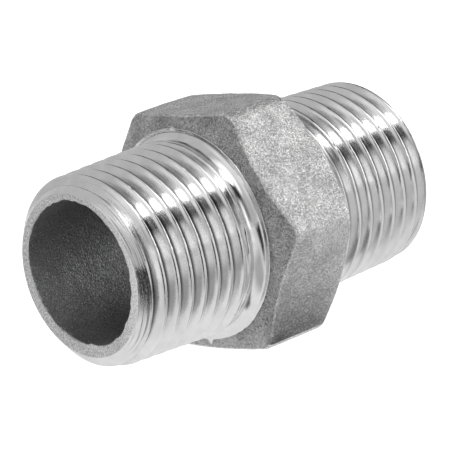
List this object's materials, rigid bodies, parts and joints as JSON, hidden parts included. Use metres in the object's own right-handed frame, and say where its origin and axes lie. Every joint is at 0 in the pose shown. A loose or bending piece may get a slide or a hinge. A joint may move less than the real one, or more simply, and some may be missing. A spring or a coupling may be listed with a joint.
{
  "type": "hex nipple",
  "caption": "Straight cast steel pipe nipple with a tapered outside thread at each end, a hexagon for a wrench in the middle and a plain bore right through.",
  "frame": {"origin": "centre of the nipple: on the bore's axis, midway between the two end faces", "axes": "+X along the bore's axis, +Z square to the upper wrench flat, +Y towards a corner of the hexagon"},
  "size_m": [0.043, 0.0292, 0.0254],
  "materials": {
    "machined_steel": "turned and threaded stainless steel, bright, with fine tool lines round the axis",
    "cast_steel": "as-cast, shot-blasted stainless steel, matte grey with a coarse grain"
  },
  "bodies": {
    "root": {"threaded_end_a": "machined_steel", "hex_body": "cast_steel", "threaded_end_b": "machined_steel"}
  },
  "joints": []
}
